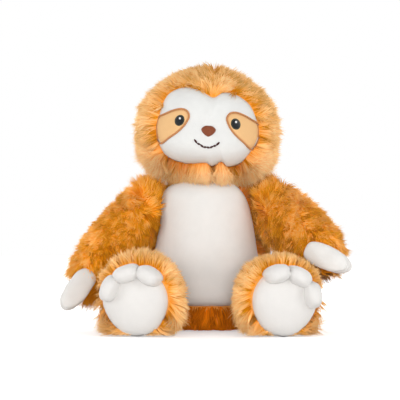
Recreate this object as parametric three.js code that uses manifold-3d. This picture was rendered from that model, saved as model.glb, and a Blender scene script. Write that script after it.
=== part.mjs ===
// A stuffed sloth that sits upright with its legs stretched out in front.
// Long brown pile covers the head, body and limbs.
// The face, belly, soles, toes and claws are short white plush.
// Millimetres, +Z up. The toy faces -Y, its own left is +X, and the origin is the middle of its flat seat.
import * as THREE from "three";
import { mergeVertices } from "three/addons/utils/BufferGeometryUtils.js";
import Module from "manifold-3d";

const wasm = await Module();
wasm.setup();

// Thickness of each fabric, with its pile
const bodyPile = 9;
const headPile = 14;
const plush = 3;
const felt = 1.2;
const stitching = 1.4;

// Space left at a seam, at a sewn joint that bends, and where the toy is pressed flat on the floor
const seamGap = 0.35;
const swingGap = 0.6;
const flatCut = 0.5;

// Torso, measured over the pile
const torsoHeight = 170;
const seatHalfWidth = 40;
const bellyHalfWidth = 66;
const bellyHeight = 50;
const shoulderHalfWidth = 53;
const shoulderHeight = 138;
const torsoDepthShare = 0.84;

// White belly panel, as seen from the front
const bellyPanelBottom = 27;
const bellyPanelTop = 160;
const bellyPanelHalfWidth = 60;
const bellyPanelTopHalfWidth = 42;

// Head, measured over the pile
const headHalfWidth = 81;
const headHalfHeight = 64;
const headDepthShare = 0.74;
const headForward = 8;
const chinOverlap = 9;
const headTilt = 3.8;
const cheekDrop = 7;
const jawShare = 0.66;
const cheekShare = 0.72;
const templeShare = 0.48;
const crownShare = 0.52;

// Face, as seen from the front and measured from the middle of the head
const faceHalfWidth = 54;
const faceTop = 31;
const facePeak = 21;
const faceBottom = 50;
const rimWidth = 11;
const rimDrop = 8;
const eyeSpacing = 59;
const eyeDrop = 5.5;
const eyeWidth = 10;
const eyeTall = 11;
const noseWidth = 16;
const noseTall = 12;
const noseDrop = 15;
const mouthWidth = 26;
const mouthDrop = 25;
const mouthSag = 7;
const mouthThread = 2.4;

// Arms, measured over the pile
const armRootRadius = 29.5;
const armRadius = 31;
const wristRadius = 27;
const elbowReach = 44;
const armReach = 113;

// Claws on the hands
const clawLength = 37;
const clawHalfWidth = 10.5;
const clawHalfThickness = 5.8;

// Legs, measured over the pile
const legLength = 130;
const legHalfWidth = 48;
const legHalfHeight = 43;
const ankleHalfWidth = 36;
const hipSpacing = 111;
const hipForward = 9;
const soleRadius = 33.5;
const soleDrop = 6;
const soleOutwards = 0.5;
const soleDome = 5;

// Toes on the feet
const toeHalfWidth = 11.6;
const toeHalfThickness = 9.2;
const toeCircle = 28;
const toeSpread = 46;
const toeLength = 26;
const toeReach = 11;

// The pose of each side, as directions from the shoulder and the wrist with the first number outwards.
// A claw root is counted in wrist radii, and the splay and outward roll of the leg in degrees.
const sides = [
  {
    name: "left",
    sign: 1,
    elbowAim: [0.83, -0.49, -0.26],
    armAim: [0.57, -0.67, -0.475],
    clawRoot: [-0.4, -0.86, 0.04],
    clawAim: [0.87, -0.32, -0.38],
    clawStack: [0, 1, 0],
    splay: 9,
    roll: 31,
  },
  {
    name: "right",
    sign: -1,
    elbowAim: [0.86, -0.26, -0.44],
    armAim: [0.62, -0.38, -0.685],
    clawRoot: [0.12, -0.98, -0.06],
    clawAim: [0.58, -0.22, -0.79],
    clawStack: [-0.1, 0.97, 0.2],
    splay: 7,
    roll: 19,
  },
];

// How finely the forms are faceted: rings along them and corners around them
const coarse = 0.7;
const headRings = 13;
const headCorners = 26;
const torsoRings = 12;
const torsoCorners = 24;
const limbRings = 10;
const limbCorners = 20;
const digitRings = 6;
const digitCorners = 10;
const seatCorners = 24;
const outlineSteps = 5;

const colours = {
  fur: 0xd78a3c,
  white: 0xf1eee9,
  patch: 0xf0bd80,
  eye: 0x22262a,
  nose: 0x70382b,
  mouth: 0x4a2424,
  filling: 0xe9e6df,
};
const fabric = (color) => new THREE.MeshStandardMaterial({ color, roughness: 0.95, metalness: 0 });

const vec = (x, y, z) => new THREE.Vector3(x, y, z);
const up = vec(0, 0, 1);
const sideways = vec(1, 0, 0);
const shoulder = ({ sign }) => vec(sign * (shoulderHalfWidth - 1), 0, shoulderHeight);
// A point or direction given for one side, with its first number counted outwards
const outward = ({ sign }, [x, y, z]) => vec(sign * x, y, z);

// A closed geometry as a solid that can be joined and cut
function toSolid(geometry) {
  const bare = new THREE.BufferGeometry();
  bare.setAttribute("position", geometry.getAttribute("position"));
  if (geometry.index) bare.setIndex(geometry.index);
  const merged = mergeVertices(bare, 1e-4);
  const vertProperties = new Float32Array(merged.attributes.position.array);
  const triVerts = new Uint32Array(merged.index.array);
  return new wasm.Manifold(new wasm.Mesh({ numProp: 3, vertProperties, triVerts }));
}

function toGeometry(solid) {
  const { vertProperties, triVerts } = solid.getMesh();
  const geometry = new THREE.BufferGeometry();
  geometry.setAttribute("position", new THREE.BufferAttribute(new Float32Array(vertProperties), 3));
  geometry.setIndex(new THREE.BufferAttribute(new Uint32Array(triVerts), 1));
  geometry.computeVertexNormals();
  return geometry;
}

// The biggest of the bodies that a cut may leave
function largest(solid) {
  return solid.decompose().reduce((best, next) => (next.volume() > best.volume() ? next : best));
}

// A closed skin over a start point, rings of points and an end point
function skin(rings, corners, start, end, pointAt) {
  const points = [start, end];
  for (let ring = 1; ring <= rings; ring++) {
    for (let corner = 0; corner < corners; corner++) {
      points.push(pointAt(ring / (rings + 1), (corner / corners) * 2 * Math.PI));
    }
  }
  const at = (ring, corner) => 2 + ring * corners + (corner % corners);
  const faces = [];
  for (let corner = 0; corner < corners; corner++) {
    faces.push(0, at(0, corner + 1), at(0, corner));
    faces.push(1, at(rings - 1, corner), at(rings - 1, corner + 1));
    for (let ring = 0; ring < rings - 1; ring++) {
      faces.push(at(ring, corner), at(ring, corner + 1), at(ring + 1, corner + 1));
      faces.push(at(ring, corner), at(ring + 1, corner + 1), at(ring + 1, corner));
    }
  }
  return new THREE.BufferGeometry().setFromPoints(points).setIndex(faces);
}

// A stuffed form: a half outline of radius against height, carried along a spine.
// It gives the solid whose surface lies a distance outside the form's own.
// Where the distance is negative, that is inside it.
function stuffedForm(profile, spine, depthShare, rings, corners) {
  return (outwards = 0, fineness = 1) => {
    const pointAt = (share, angle) => {
      const point = profile.getPointAt(share);
      const along = profile.getTangentAt(share);
      const radius = Math.max(0.1, point.x + along.y * outwards);
      const { middle, across, over } = spine(point.y - along.x * outwards);
      return middle
        .clone()
        .addScaledVector(across, radius * Math.cos(angle))
        .addScaledVector(over, radius * depthShare * Math.sin(angle));
    };
    const start = spine(profile.getPointAt(0).y - outwards).middle.clone();
    const end = spine(profile.getPointAt(1).y + outwards).middle.clone();
    const ringCount = Math.round(rings * fineness);
    const cornerCount = 2 * Math.round((corners * fineness) / 2);
    return toSolid(skin(ringCount, cornerCount, start, end, pointAt));
  };
}

// A straight spine from a point, with the direction its width lies in
function straightSpine(from, along, across) {
  const over = along.clone().cross(across).normalize();
  return (height) => ({ middle: from.clone().addScaledVector(along, height), across, over });
}

// A spine that follows a curve, and runs on straight past its ends
function bentSpine(curve) {
  const length = curve.getLength();
  return (height) => {
    const share = THREE.MathUtils.clamp(height / length, 0, 1);
    const along = curve.getTangentAt(share);
    const across = up.clone().cross(along).normalize();
    const middle = curve.getPointAt(share).addScaledVector(along, height - share * length);
    return { middle, across, over: along.clone().cross(across) };
  };
}

// An outline in the XZ plane, grown by a distance and drawn out towards -Y
function frontPrism(outline, grow, depth) {
  const points = outline.getPoints(outlineSteps);
  if (points[0].distanceTo(points.at(-1)) < 1e-6) points.pop();
  if (THREE.ShapeUtils.isClockWise(points)) points.reverse();
  const grown = points.map((point, i) => {
    const along = points[(i + 1) % points.length].clone().sub(points.at(i - 1)).normalize();
    return new THREE.Vector2(point.x + along.y * grow, point.y - along.x * grow);
  });
  const prism = new THREE.ExtrudeGeometry(new THREE.Shape(grown), { depth, bevelEnabled: false });
  return toSolid(prism.rotateX(Math.PI / 2));
}

// What the floor leaves of a solid that stands on it
function standing(solid) {
  const span = 8 * torsoHeight;
  const air = new THREE.BoxGeometry(span, span, span).translate(0, 0, span / 2);
  return solid.intersect(toSolid(air));
}

// Torso: a pear on a flat seat
function torsoProfile() {
  const low = -flatCut;
  return new THREE.Path()
    .moveTo(0, low)
    .lineTo(seatHalfWidth * 0.8, low)
    .bezierCurveTo(seatHalfWidth + 16, low, bellyHalfWidth, bellyHeight * 0.35, bellyHalfWidth, bellyHeight)
    .bezierCurveTo(
      bellyHalfWidth, bellyHeight + 36,
      shoulderHalfWidth + 5, shoulderHeight - 32,
      shoulderHalfWidth, shoulderHeight,
    )
    .bezierCurveTo(
      shoulderHalfWidth - 3, shoulderHeight + 20,
      shoulderHalfWidth * 0.8, torsoHeight,
      0, torsoHeight,
    );
}
const torsoSpine = straightSpine(vec(0, 0, 0), up, sideways);
const torsoForm = stuffedForm(torsoProfile(), torsoSpine, torsoDepthShare, torsoRings, torsoCorners);

// The round seat that the head turns on: the torso's top, as wide in depth as it is across
const neckSeat = () => stuffedForm(torsoProfile(), torsoSpine, 1, torsoRings, torsoCorners)(swingGap);

// The round seat that an arm swings on: it holds the whole side of the torso, however the arm is turned
function shoulderSeat(side) {
  const below = torsoProfile().getSpacedPoints(3 * torsoRings).filter((point) => point.y < shoulderHeight);
  const points = [new THREE.Vector2(0, 0), new THREE.Vector2(0, shoulderHalfWidth + swingGap)];
  for (const point of below.reverse()) {
    const width = Math.max(points.at(-1).y, point.x + swingGap);
    const x = shoulderHeight - point.y;
    if (x > points.at(-1).x + 8) points.push(new THREE.Vector2(x, width));
  }
  points.push(new THREE.Vector2(points.at(-1).x, 0), new THREE.Vector2(0, 0));
  const lathe = new THREE.LatheGeometry(points.reverse(), seatCorners);
  lathe.rotateZ((-side.sign * Math.PI) / 2).translate(0, 0, shoulderHeight);
  return toSolid(lathe);
}

function bellyPanelOutline() {
  const middle = (bellyPanelBottom + bellyPanelTop) / 2;
  const wide = bellyPanelHalfWidth;
  const top = bellyPanelTopHalfWidth;
  return new THREE.Shape()
    .moveTo(top, bellyPanelTop)
    .lineTo(-top, bellyPanelTop)
    .bezierCurveTo(-top - 8, bellyPanelTop - 20, -wide, middle + 20, -wide, middle - 8)
    .bezierCurveTo(-wide, bellyPanelBottom + 18, -wide * 0.8, bellyPanelBottom, -wide * 0.6, bellyPanelBottom)
    .lineTo(wide * 0.6, bellyPanelBottom)
    .bezierCurveTo(wide * 0.8, bellyPanelBottom, wide, bellyPanelBottom + 18, wide, middle - 8)
    .bezierCurveTo(wide, middle + 20, top + 8, bellyPanelTop - 20, top, bellyPanelTop);
}

function torsoPieces() {
  const reach = 2 * bellyHalfWidth;
  const core = torsoForm(-bodyPile, coarse);
  const opening = frontPrism(bellyPanelOutline(), seamGap, reach);
  const panel = frontPrism(bellyPanelOutline(), 0, reach);
  return {
    torso_cover: [standing(torsoForm(0)).subtract(core).subtract(opening), colours.fur],
    belly_panel: [torsoForm(plush - bodyPile).subtract(core).intersect(panel), colours.white],
    torso_filling: [torsoForm(-bodyPile - seamGap, coarse), colours.filling],
  };
}

// Head: a broad oval, fuller below its middle
function headProfile() {
  const wide = headHalfWidth;
  const tall = headHalfHeight;
  return new THREE.Path()
    .moveTo(0, -tall)
    .bezierCurveTo(jawShare * wide, -tall, wide, -cheekShare * tall, wide, -cheekDrop)
    .bezierCurveTo(wide, templeShare * tall, crownShare * wide, tall, 0, tall);
}
const headForm = stuffedForm(headProfile(), torsoSpine, headDepthShare, headRings, headCorners);

// Where the middle of the head is carried to, and how it leans
const headPlace = new THREE.Matrix4()
  .makeTranslation(0, -headForward, torsoHeight - chinOverlap + headHalfHeight)
  .multiply(new THREE.Matrix4().makeRotationY(THREE.MathUtils.degToRad(headTilt)));

// The face is a rounded heart: the pile comes down to a peak over the nose
function faceOutline() {
  const wide = faceHalfWidth;
  return new THREE.Shape()
    .moveTo(0, facePeak)
    .quadraticCurveTo(-10, faceTop, -26, faceTop)
    .bezierCurveTo(-45, faceTop, -wide, 18, -wide, -4)
    .bezierCurveTo(-wide, -34, -38, -faceBottom, 0, -faceBottom)
    .bezierCurveTo(38, -faceBottom, wide, -34, wide, -4)
    .bezierCurveTo(wide, 18, 45, faceTop, 26, faceTop)
    .quadraticCurveTo(10, faceTop, 0, facePeak);
}

// The tapered patch that runs from the eye out to the side of the face
function patchOutline(sign) {
  const eye = eyeSpacing / 2;
  const edge = faceHalfWidth + 8;
  return new THREE.Shape()
    .moveTo(sign * edge, -eyeDrop - 1)
    .quadraticCurveTo(sign * (eye + 13), -eyeDrop + 7, sign * eye, -eyeDrop + 10)
    .bezierCurveTo(
      sign * (eye - 11), -eyeDrop + 11,
      sign * (eye - 12), -eyeDrop - 3,
      sign * (eye + 1), -eyeDrop - 13,
    )
    .quadraticCurveTo(sign * (eye + 10), -eyeDrop - 21, sign * edge, -eyeDrop - 33);
}

function eyeOutline(sign) {
  const x = (sign * eyeSpacing) / 2;
  return new THREE.Shape().absellipse(x, -eyeDrop, eyeWidth / 2, eyeTall / 2, 0, 2 * Math.PI);
}

function noseOutline() {
  const half = noseWidth / 2;
  const top = -noseDrop + noseTall / 2;
  const side = top - noseTall * 0.35;
  const cheek = top - noseTall * 0.66;
  const tip = top - noseTall;
  return new THREE.Shape()
    .moveTo(0, top)
    .bezierCurveTo(half * 0.9, top + 0.4, half * 1.2, side, half * 0.62, cheek)
    .quadraticCurveTo(half * 0.2, tip, 0, tip)
    .quadraticCurveTo(-half * 0.2, tip, -half * 0.62, cheek)
    .bezierCurveTo(-half * 1.2, side, -half * 0.9, top + 0.4, 0, top);
}

// A smile of even width
function mouthOutline() {
  const half = mouthWidth / 2;
  const low = -mouthDrop - 2 * mouthSag;
  return new THREE.Shape()
    .moveTo(-half, -mouthDrop)
    .quadraticCurveTo(0, low, half, -mouthDrop)
    .lineTo(half, -mouthDrop - mouthThread)
    .quadraticCurveTo(0, low - mouthThread, -half, -mouthDrop - mouthThread)
    .lineTo(-half, -mouthDrop);
}

function headPieces() {
  const reach = 2 * headHalfWidth;
  const core = headForm(-headPile, coarse);
  const seat = neckSeat();
  // A layer on the face between two heights over the filling, inside an outline
  const layer = (low, high, outline) => {
    const shape = headForm(high - headPile).intersect(frontPrism(outline, 0, reach));
    return shape.subtract(headForm(low - headPile));
  };
  const panel = headForm(plush - headPile).intersect(frontPrism(faceOutline(), 0, reach)).subtract(core);
  const faceOpening = frontPrism(faceOutline(), seamGap, reach);
  // The pile lies lower near the face, in two steps
  const nearFace = (width, drop) => frontPrism(faceOutline(), width, reach).subtract(headForm(-drop));
  const rim = nearFace(rimWidth, rimDrop / 2).add(nearFace(rimWidth / 2, rimDrop));
  const onFace = plush + seamGap;
  const onPatch = onFace + felt + seamGap;
  const pieces = {
    head_cover: [headForm(0).subtract(core).subtract(faceOpening).subtract(rim), colours.fur],
    head_filling: [headForm(-headPile - seamGap, coarse), colours.filling],
    face_panel: [panel, colours.white],
    nose: [layer(onFace, onFace + 2 * stitching, noseOutline()), colours.nose],
    mouth: [layer(onFace, onFace + stitching, mouthOutline()), colours.mouth],
  };
  const onPanel = frontPrism(faceOutline(), -2 * seamGap, reach);
  for (const { name, sign } of sides) {
    const patch = layer(onFace, onFace + felt, patchOutline(sign)).intersect(onPanel);
    pieces[`eye_patch_${name}`] = [patch, colours.patch];
    pieces[`eye_${name}`] = [layer(onPatch, onPatch + stitching, eyeOutline(sign)), colours.eye];
  }
  for (const piece of Object.values(pieces)) {
    piece[0] = piece[0].transform(headPlace.elements).subtract(seat);
  }
  return pieces;
}

// A rounded digit from its root to its tip, broad across and less thick
function digit(root, aim, across, length, halfWidth, halfThickness) {
  const spine = straightSpine(root, aim, across);
  const profile = new THREE.Path()
    .moveTo(0, -halfWidth)
    .bezierCurveTo(halfWidth * 0.6, -halfWidth, halfWidth, -halfWidth * 0.4, halfWidth, length * 0.3)
    .bezierCurveTo(halfWidth, length * 0.72, halfWidth * 0.62, length, 0, length);
  return stuffedForm(profile, spine, halfThickness / halfWidth, digitRings, digitCorners)();
}

// Arm: a long soft tube that bends forwards and down from the shoulder
function armProfile(length) {
  const end = length + wristRadius - 4;
  return new THREE.Path()
    .moveTo(0, -armRootRadius)
    .bezierCurveTo(armRootRadius * 0.6, -armRootRadius, armRootRadius, -armRootRadius * 0.6, armRootRadius, 0)
    .bezierCurveTo(armRadius, length * 0.25, armRadius + 1, length * 0.5, wristRadius + 2, length * 0.85)
    .bezierCurveTo(wristRadius, length + 8, wristRadius * 0.6, end, 0, end);
}

function armPieces(side) {
  const from = shoulder(side);
  const elbow = from.clone().addScaledVector(outward(side, side.elbowAim).normalize(), elbowReach);
  const wrist = from.clone().addScaledVector(outward(side, side.armAim).normalize(), armReach);
  const curve = new THREE.QuadraticBezierCurve3(from, elbow, wrist);
  const form = stuffedForm(armProfile(curve.getLength()), bentSpine(curve), 1, limbRings, limbCorners);
  const seat = shoulderSeat(side);
  const core = form(-bodyPile, coarse);
  const pieces = {
    [`arm_cover_${side.name}`]: [form(0).subtract(seat).subtract(core), colours.fur],
    [`arm_filling_${side.name}`]: [form(-bodyPile - seamGap, coarse).subtract(seat), colours.filling],
  };
  const aim = outward(side, side.clawAim).normalize();
  const across = aim.clone().cross(outward(side, side.clawStack)).normalize();
  const stack = across.clone().cross(aim);
  const pitch = 2 * clawHalfThickness + seamGap;
  const fur = form(seamGap);
  for (let claw = 0; claw < 3; claw++) {
    const root = wrist.clone().addScaledVector(outward(side, side.clawRoot), wristRadius);
    root.addScaledVector(stack, claw * pitch);
    const shape = digit(root, aim, across, clawLength, clawHalfWidth, clawHalfThickness);
    pieces[`claw_${side.name}_${claw + 1}`] = [shape.subtract(fur), colours.white];
  }
  return pieces;
}

// Leg: a stout tube from the hip to the sole, lying on the floor
function legProfile() {
  const wide = legHalfWidth;
  return new THREE.Path()
    .moveTo(0, 0)
    .bezierCurveTo(ankleHalfWidth * 0.75, 0, ankleHalfWidth, 16, ankleHalfWidth, 40)
    .bezierCurveTo(ankleHalfWidth, 66, wide, legLength - 50, wide, legLength - 24)
    .bezierCurveTo(wide, legLength - 7, wide - 3, legLength - soleDome - 1, wide - 14, legLength - soleDome)
    .quadraticCurveTo(wide * 0.3, legLength, 0, legLength);
}

function legPieces(side) {
  const splay = THREE.MathUtils.degToRad(side.sign * side.splay);
  const forward = vec(0, -1, 0).applyAxisAngle(up, splay);
  const across = sideways.clone().applyAxisAngle(up, splay);
  const hip = vec((side.sign * hipSpacing) / 2, -hipForward, legHalfHeight - flatCut);
  const spine = straightSpine(hip, forward, across);
  const form = stuffedForm(legProfile(), spine, legHalfHeight / legHalfWidth, limbRings, limbCorners);
  const torso = torsoForm(swingGap);
  const soleMiddle = hip.clone().addScaledVector(forward, legLength);
  soleMiddle.addScaledVector(up, -soleDrop).addScaledVector(across, side.sign * soleOutwards);
  const lean = new THREE.Quaternion().setFromUnitVectors(vec(0, 1, 0), forward);
  // The rim of the sole, as a plug that reaches through the pile
  const plug = (grow) => {
    const disc = new THREE.CylinderGeometry(soleRadius + grow, soleRadius + grow, 4 * bodyPile, 24);
    return toSolid(disc.applyQuaternion(lean).translate(...soleMiddle.toArray()));
  };
  const core = form(-bodyPile, coarse);
  const cover = standing(form(0)).subtract(torso).subtract(core).subtract(plug(seamGap));
  const pieces = {
    [`leg_cover_${side.name}`]: [cover, colours.fur],
    [`leg_filling_${side.name}`]: [form(-bodyPile - seamGap, coarse).subtract(torso), colours.filling],
    [`sole_${side.name}`]: [form(plush - bodyPile).intersect(plug(0)).subtract(core), colours.white],
  };
  const fur = form(seamGap);
  for (let toe = 0; toe < 3; toe++) {
    const turn = THREE.MathUtils.degToRad(side.sign * side.roll + (toe - 1) * toeSpread);
    const away = up.clone().applyAxisAngle(forward, -turn);
    const root = soleMiddle.clone().addScaledVector(away, toeCircle);
    root.addScaledVector(forward, toeReach - toeLength);
    const broad = forward.clone().cross(away).normalize();
    const shape = digit(root, forward, broad, toeLength, toeHalfWidth, toeHalfThickness);
    pieces[`toe_${side.name}_${toe + 1}`] = [shape.subtract(fur), colours.white];
  }
  return pieces;
}

const group = new THREE.Group();
const pieces = { ...torsoPieces(), ...headPieces() };
for (const side of sides) Object.assign(pieces, armPieces(side), legPieces(side));
for (const [name, [solid, colour]] of Object.entries(pieces)) {
  const mesh = new THREE.Mesh(toGeometry(largest(solid)), fabric(colour));
  mesh.name = name;
  group.add(mesh);
}

export default group;
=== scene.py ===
"""The look of a stuffed sloth: long golden pile, short white plush and a stitched face, on a pale floor.

Every piece is in metres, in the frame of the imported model: the toy faces -Y and its own left is +X.
"""

import math

import bmesh
import bpy
import numpy as np
from mathutils import Matrix, Vector
from mathutils.bvhtree import BVHTree
from mathutils.kdtree import KDTree


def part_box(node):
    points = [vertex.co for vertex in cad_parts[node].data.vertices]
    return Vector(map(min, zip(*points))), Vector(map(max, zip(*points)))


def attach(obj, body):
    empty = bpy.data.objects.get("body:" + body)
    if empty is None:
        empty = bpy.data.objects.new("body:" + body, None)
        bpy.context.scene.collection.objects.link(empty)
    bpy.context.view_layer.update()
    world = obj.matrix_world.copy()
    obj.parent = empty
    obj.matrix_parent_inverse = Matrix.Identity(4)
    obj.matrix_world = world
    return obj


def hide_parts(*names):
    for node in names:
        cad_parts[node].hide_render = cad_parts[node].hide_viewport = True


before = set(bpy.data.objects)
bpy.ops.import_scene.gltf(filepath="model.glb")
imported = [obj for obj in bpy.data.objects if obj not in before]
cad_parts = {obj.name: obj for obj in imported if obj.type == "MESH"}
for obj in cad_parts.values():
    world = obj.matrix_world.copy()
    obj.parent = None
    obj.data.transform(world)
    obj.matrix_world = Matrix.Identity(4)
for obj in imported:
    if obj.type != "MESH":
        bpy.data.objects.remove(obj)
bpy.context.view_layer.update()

bl_info = {
    "name": "Plush Sloth",
    "version": (1, 0, 0),
    "blender": (4, 5, 0),
    "location": "3D View > Sidebar > Plush Sloth",
    "description": "Makes the pile, plush panels, stitched face and stage of a stuffed sloth",
    "category": "Object",
}

MM = 0.001
SIDES = {"left": 1, "right": -1}
UP = np.array([0.0, 0.0, 1.0])
FRONT = np.array([0.0, -1.0, 0.0])
SIDEWAYS = np.array([1.0, 0.0, 0.0])

# The middle of the head and its lean, and the face measured from there in millimetres
HEAD_MIDDLE = (0.0, -0.008, 0.225)
HEAD_LEAN = math.radians(3.8)
FACE_EDGE = (
    (3.7, 22), (13, 28), (22, 29), (32, 26), (43, 18.5), (50, 7), (54, -4), (54.7, -19), (47, -33),
    (40.5, -42), (34.5, -49.5), (26.5, -51), (21.5, -47), (17, -45), (12, -48), (7, -50), (1, -47),
    (-10, -48), (-24, -48.5), (-38, -45), (-48.5, -34), (-53.7, -16), (-52, 1), (-47, 20), (-38, 29),
    (-25, 32.5), (-10.5, 29.5),
)
PATCH_EDGE = (
    (54, -3.8), (45, 1.2), (36, 5), (28, 6.6), (22, 4.6), (19.6, -0.5), (21, -5.5), (24, -10.8),
    (30, -17.5), (38, -23.5), (48, -29.5), (54.5, -16),
)
NOSE_EDGE = ((4.4, 5.3), (7.6, 2.4), (7.4, -0.6), (4.6, -3.8), (1.3, -6))
EYE_X, EYE_Z, EYE_TILT = 29.3, -5.5, math.radians(20)
NOSE_X, NOSE_Z = 1.5, -15
MOUTH_ENDS, MOUTH_MIDDLE = ((-12.6, -25), (13.6, -26.3)), (0.8, -38.6)
MOUTH_STITCHES, STITCH_STEPS, STITCH_TILT = 8, 10, 0.5
# The parting over the forehead, and the fold that the pile leaves beside the face
PARTING_X = 3.5
FOLD = ((19, 35), (27, 34), (36.8, 29), (46.8, 20), (56, 6))

# Width and height of the threads round the eye patches and of the mouth
EDGE_CORD, MOUTH_CORD = (0.0021, 0.0017), (0.0021, 0.0018)

# The belly panel: heights in millimetres and how far round the torso it reaches, in degrees
BELLY_BOTTOM, BELLY_TOP = 27, 160
BELLY_REACH, BELLY_TOP_REACH = 95, 90

# Toes and claws: a claw stands a little past its CAD node, and its root lies further back
DIGITS = (1, 2, 3)
TOE_LENGTH, TOE_HALF_WIDTH, TOE_HALF_THICKNESS = 0.036, 0.0138, 0.009
CLAW_LENGTH, CLAW_BACK, CLAW_PAST = 0.044, 0.007, 0.0016
CLAW_HALF_WIDTH, CLAW_HALF_THICKNESS = 0.0122, 0.006

# How much longer the pile on top of each leg is than the rest
LEG_TOP_MORE = {"left": -0.07, "right": 0.27}

# How full each padded piece is
FORM_FILL, TOE_FILL, CLAW_FILL = 0.8, 0.7, 0.6

# How fine the cloth of a form is, how often and how much it is rounded off, how much too small it starts,
# how many frames its stuffing takes, and how far that can move it
FORM_VOXEL = 0.0045
FORM_ROUNDS, FORM_ROUNDING = 8, 0.5
SLACK = 0.0008
STUFFING_FRAMES, STUFFING_MOST = 20, 0.004
# How wide a seam holds the cloth, in millimetres, and how the cloth behaves
SEWN_WIDTH = 4
CLOTH = {
    "vertex_group_mass": "sewn",
    "use_pressure": True,
    "uniform_pressure_force": 60.0,
    "mass": 0.02,
    "tension_stiffness": 1.0,
    "compression_stiffness": 1.0,
    "shear_stiffness": 0.5,
    "bending_stiffness": 0.05,
}

# A strand is a spike with a ring of three points at its root, another at its bend, and a tip
STRAND_POINTS, STRAND_FACES, STRAND_CORNERS = 7, 6, 21
# How long the shortest strand of a tuft and the shortest tuft are, and how much longer others can be
SHORTEST, SHORTEST_TUFT, LONGER = 0.86, 0.88, 0.24
# The radius of a strand at its root and at its bend, as shares of its width
ROOT_RADIUS, BEND_RADIUS = 0.5, 0.42
# How deep a strand's root lies in its form, and how high its root, bend and tip stay over the floor
ROOT_DEPTH = 0.0015
FLOOR_GAPS = (0.001, 0.0012, 0.0006)
# How far the light on a strand follows its own roundness and not the surface that it grows from
STRAND_ROUNDNESS = 0.45
# How much of the darkness of an underside its hanging strands keep: their lit sides face forwards
UNDERSIDE_SHADE = 0.2
# How much lighter or darker the pile is from patch to patch, spot to spot, strand to strand and tuft to tuft
PATCH_TONE, SPOT_TONE, STRAND_TONE, TUFT_TONE = 0.15, 0.1, 0.12, 0.16
PATCH_SIZE, SPOT_SIZE = 0.034, 0.012
# How far down its colours a dark strand starts, where 1 is its root
DARK_DEPTH = 0.7
# How much the tone changes round a strand
TONE_STEP = 0.004

# The camera's frame and where the toy's middle and the horizon lie in it, in pixels
PICTURE = 400
TOY_COLUMN, HORIZON_ROW = 208, 237
FOCUS_PIXELS = 1481.5
CAMERA_DISTANCE, CAMERA_HEIGHT = 1.6, 0.1
SENSOR_MM = 36

# The floor's whiteness, its corners, and from how far to how far off its shadows fade
FLOOR_WHITE, FLOOR_CORNERS, FLOOR_FADE = 0.9, 96, (0.22, 0.8)
# Each light's place, the height it aims at, its size, and its power as a share of a setting
LIGHTS = {
    "key_light": ((-0.2, -3.0, 0.45), 0.13, 2.0, "key_power", 1.4),
    "fill_light_left": ((1.9, -1.5, 0.4), 0.13, 1.2, "key_power", 0.9),
    "fill_light_right": ((-1.9, -1.5, 0.4), 0.13, 1.2, "key_power", 0.9),
    "low_light": ((0.1, -2.6, 0.05), 0.1, 1.0, "key_power", 2.3),
    "rim_light_left": ((1.3, 0.9, 0.9), 0.15, 0.8, "rim_power", 1.0),
    "rim_light_right": ((-1.3, 0.9, 0.9), 0.15, 0.8, "rim_power", 1.0),
}


def number_setting(name, description, value, **more):
    return bpy.props.FloatProperty(name=name, description=description, default=value, **more)


def count_setting(name, description, value):
    return bpy.props.IntProperty(name=name, description=description, default=value)


def colour_setting(name, description, *colour):
    return bpy.props.FloatVectorProperty(
        name=name, description=description, subtype="COLOR", size=4, default=(*colour, 1)
    )


class SlothPileSettings(bpy.types.PropertyGroup):
    head_length: number_setting("Head pile", "Length of the strands on the head", 0.019, unit="LENGTH")
    limb_length: number_setting("Limb pile", "Length of the body and limb strands", 0.0145, unit="LENGTH")
    strand_width: number_setting("Strand width", "Width of a strand at its root", 0.0011, unit="LENGTH")
    head_count: count_setting("Head strands", "Strands on the head", 64500)
    limb_count: count_setting("Limb strands", "Strands on the torso and on each limb", 21500)
    root_colour: colour_setting("Root", "Colour of the pile at its roots", 1.0, 0.25, 0.02)
    middle_colour: colour_setting("Middle", "Colour of the pile halfway", 1.0, 0.44, 0.1)
    tip_colour: colour_setting("Tip", "Colour of the pile at its tips", 1.0, 0.66, 0.33)
    limb_colour: colour_setting("Limb middle", "Colour of the body and arm pile halfway", 1.0, 0.33, 0.03)
    limb_tip_colour: colour_setting("Limb tip", "Colour of the body and arm pile at tips", 1.0, 0.54, 0.15)


class SlothPlushSettings(bpy.types.PropertyGroup):
    face_colour: colour_setting("Face", "Colour of the face", 0.725, 0.725, 0.705)
    belly_colour: colour_setting("Belly", "Colour of the belly and claws", 0.755, 0.735, 0.705)
    # The soles and toes are a little darker than the belly: painted shade that evens out the light falling
    # full on their fronts
    sole_colour: colour_setting("Soles", "Colour of the soles and toes", 0.72, 0.70, 0.675)
    patch_colour: colour_setting("Eye patch", "Colour of the eye patches", 0.775, 0.475, 0.22)
    outline_colour: colour_setting("Outline", "Thread round the eye patches", 0.60, 0.26, 0.10)
    nose_colour: colour_setting("Nose", "Thread of the nose", 0.27, 0.073, 0.03)
    mouth_colour: colour_setting("Mouth", "Thread of the mouth", 0.06, 0.014, 0.014)
    eye_colour: colour_setting("Eye", "Thread of the eyes", 0.012, 0.015, 0.018)
    eye_rim_colour: colour_setting("Eye rim", "Thread round the eyes", 0.05, 0.06, 0.045)
    highlight_colour: colour_setting("Highlight", "Thread of the light spot in the eyes", 0.9, 0.9, 0.9)


class SlothStageSettings(bpy.types.PropertyGroup):
    floor_radius: number_setting("Floor radius", "Radius of the floor", 6.0, unit="LENGTH")
    key_power: number_setting("Key light", "Power of the front light", 14.2)
    sky: number_setting("Sky", "Strength of the light from all round", 0.48)
    rim_power: number_setting("Rim lights", "Power of each light behind", 9.0)


def unit(vectors):
    return vectors / np.maximum(np.linalg.norm(vectors, axis=-1, keepdims=True), 1e-9)


def across_normal(vectors, normals):
    """The part of each vector that lies in the surface."""
    return vectors - normals * np.sum(vectors * normals, axis=-1, keepdims=True)


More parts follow.
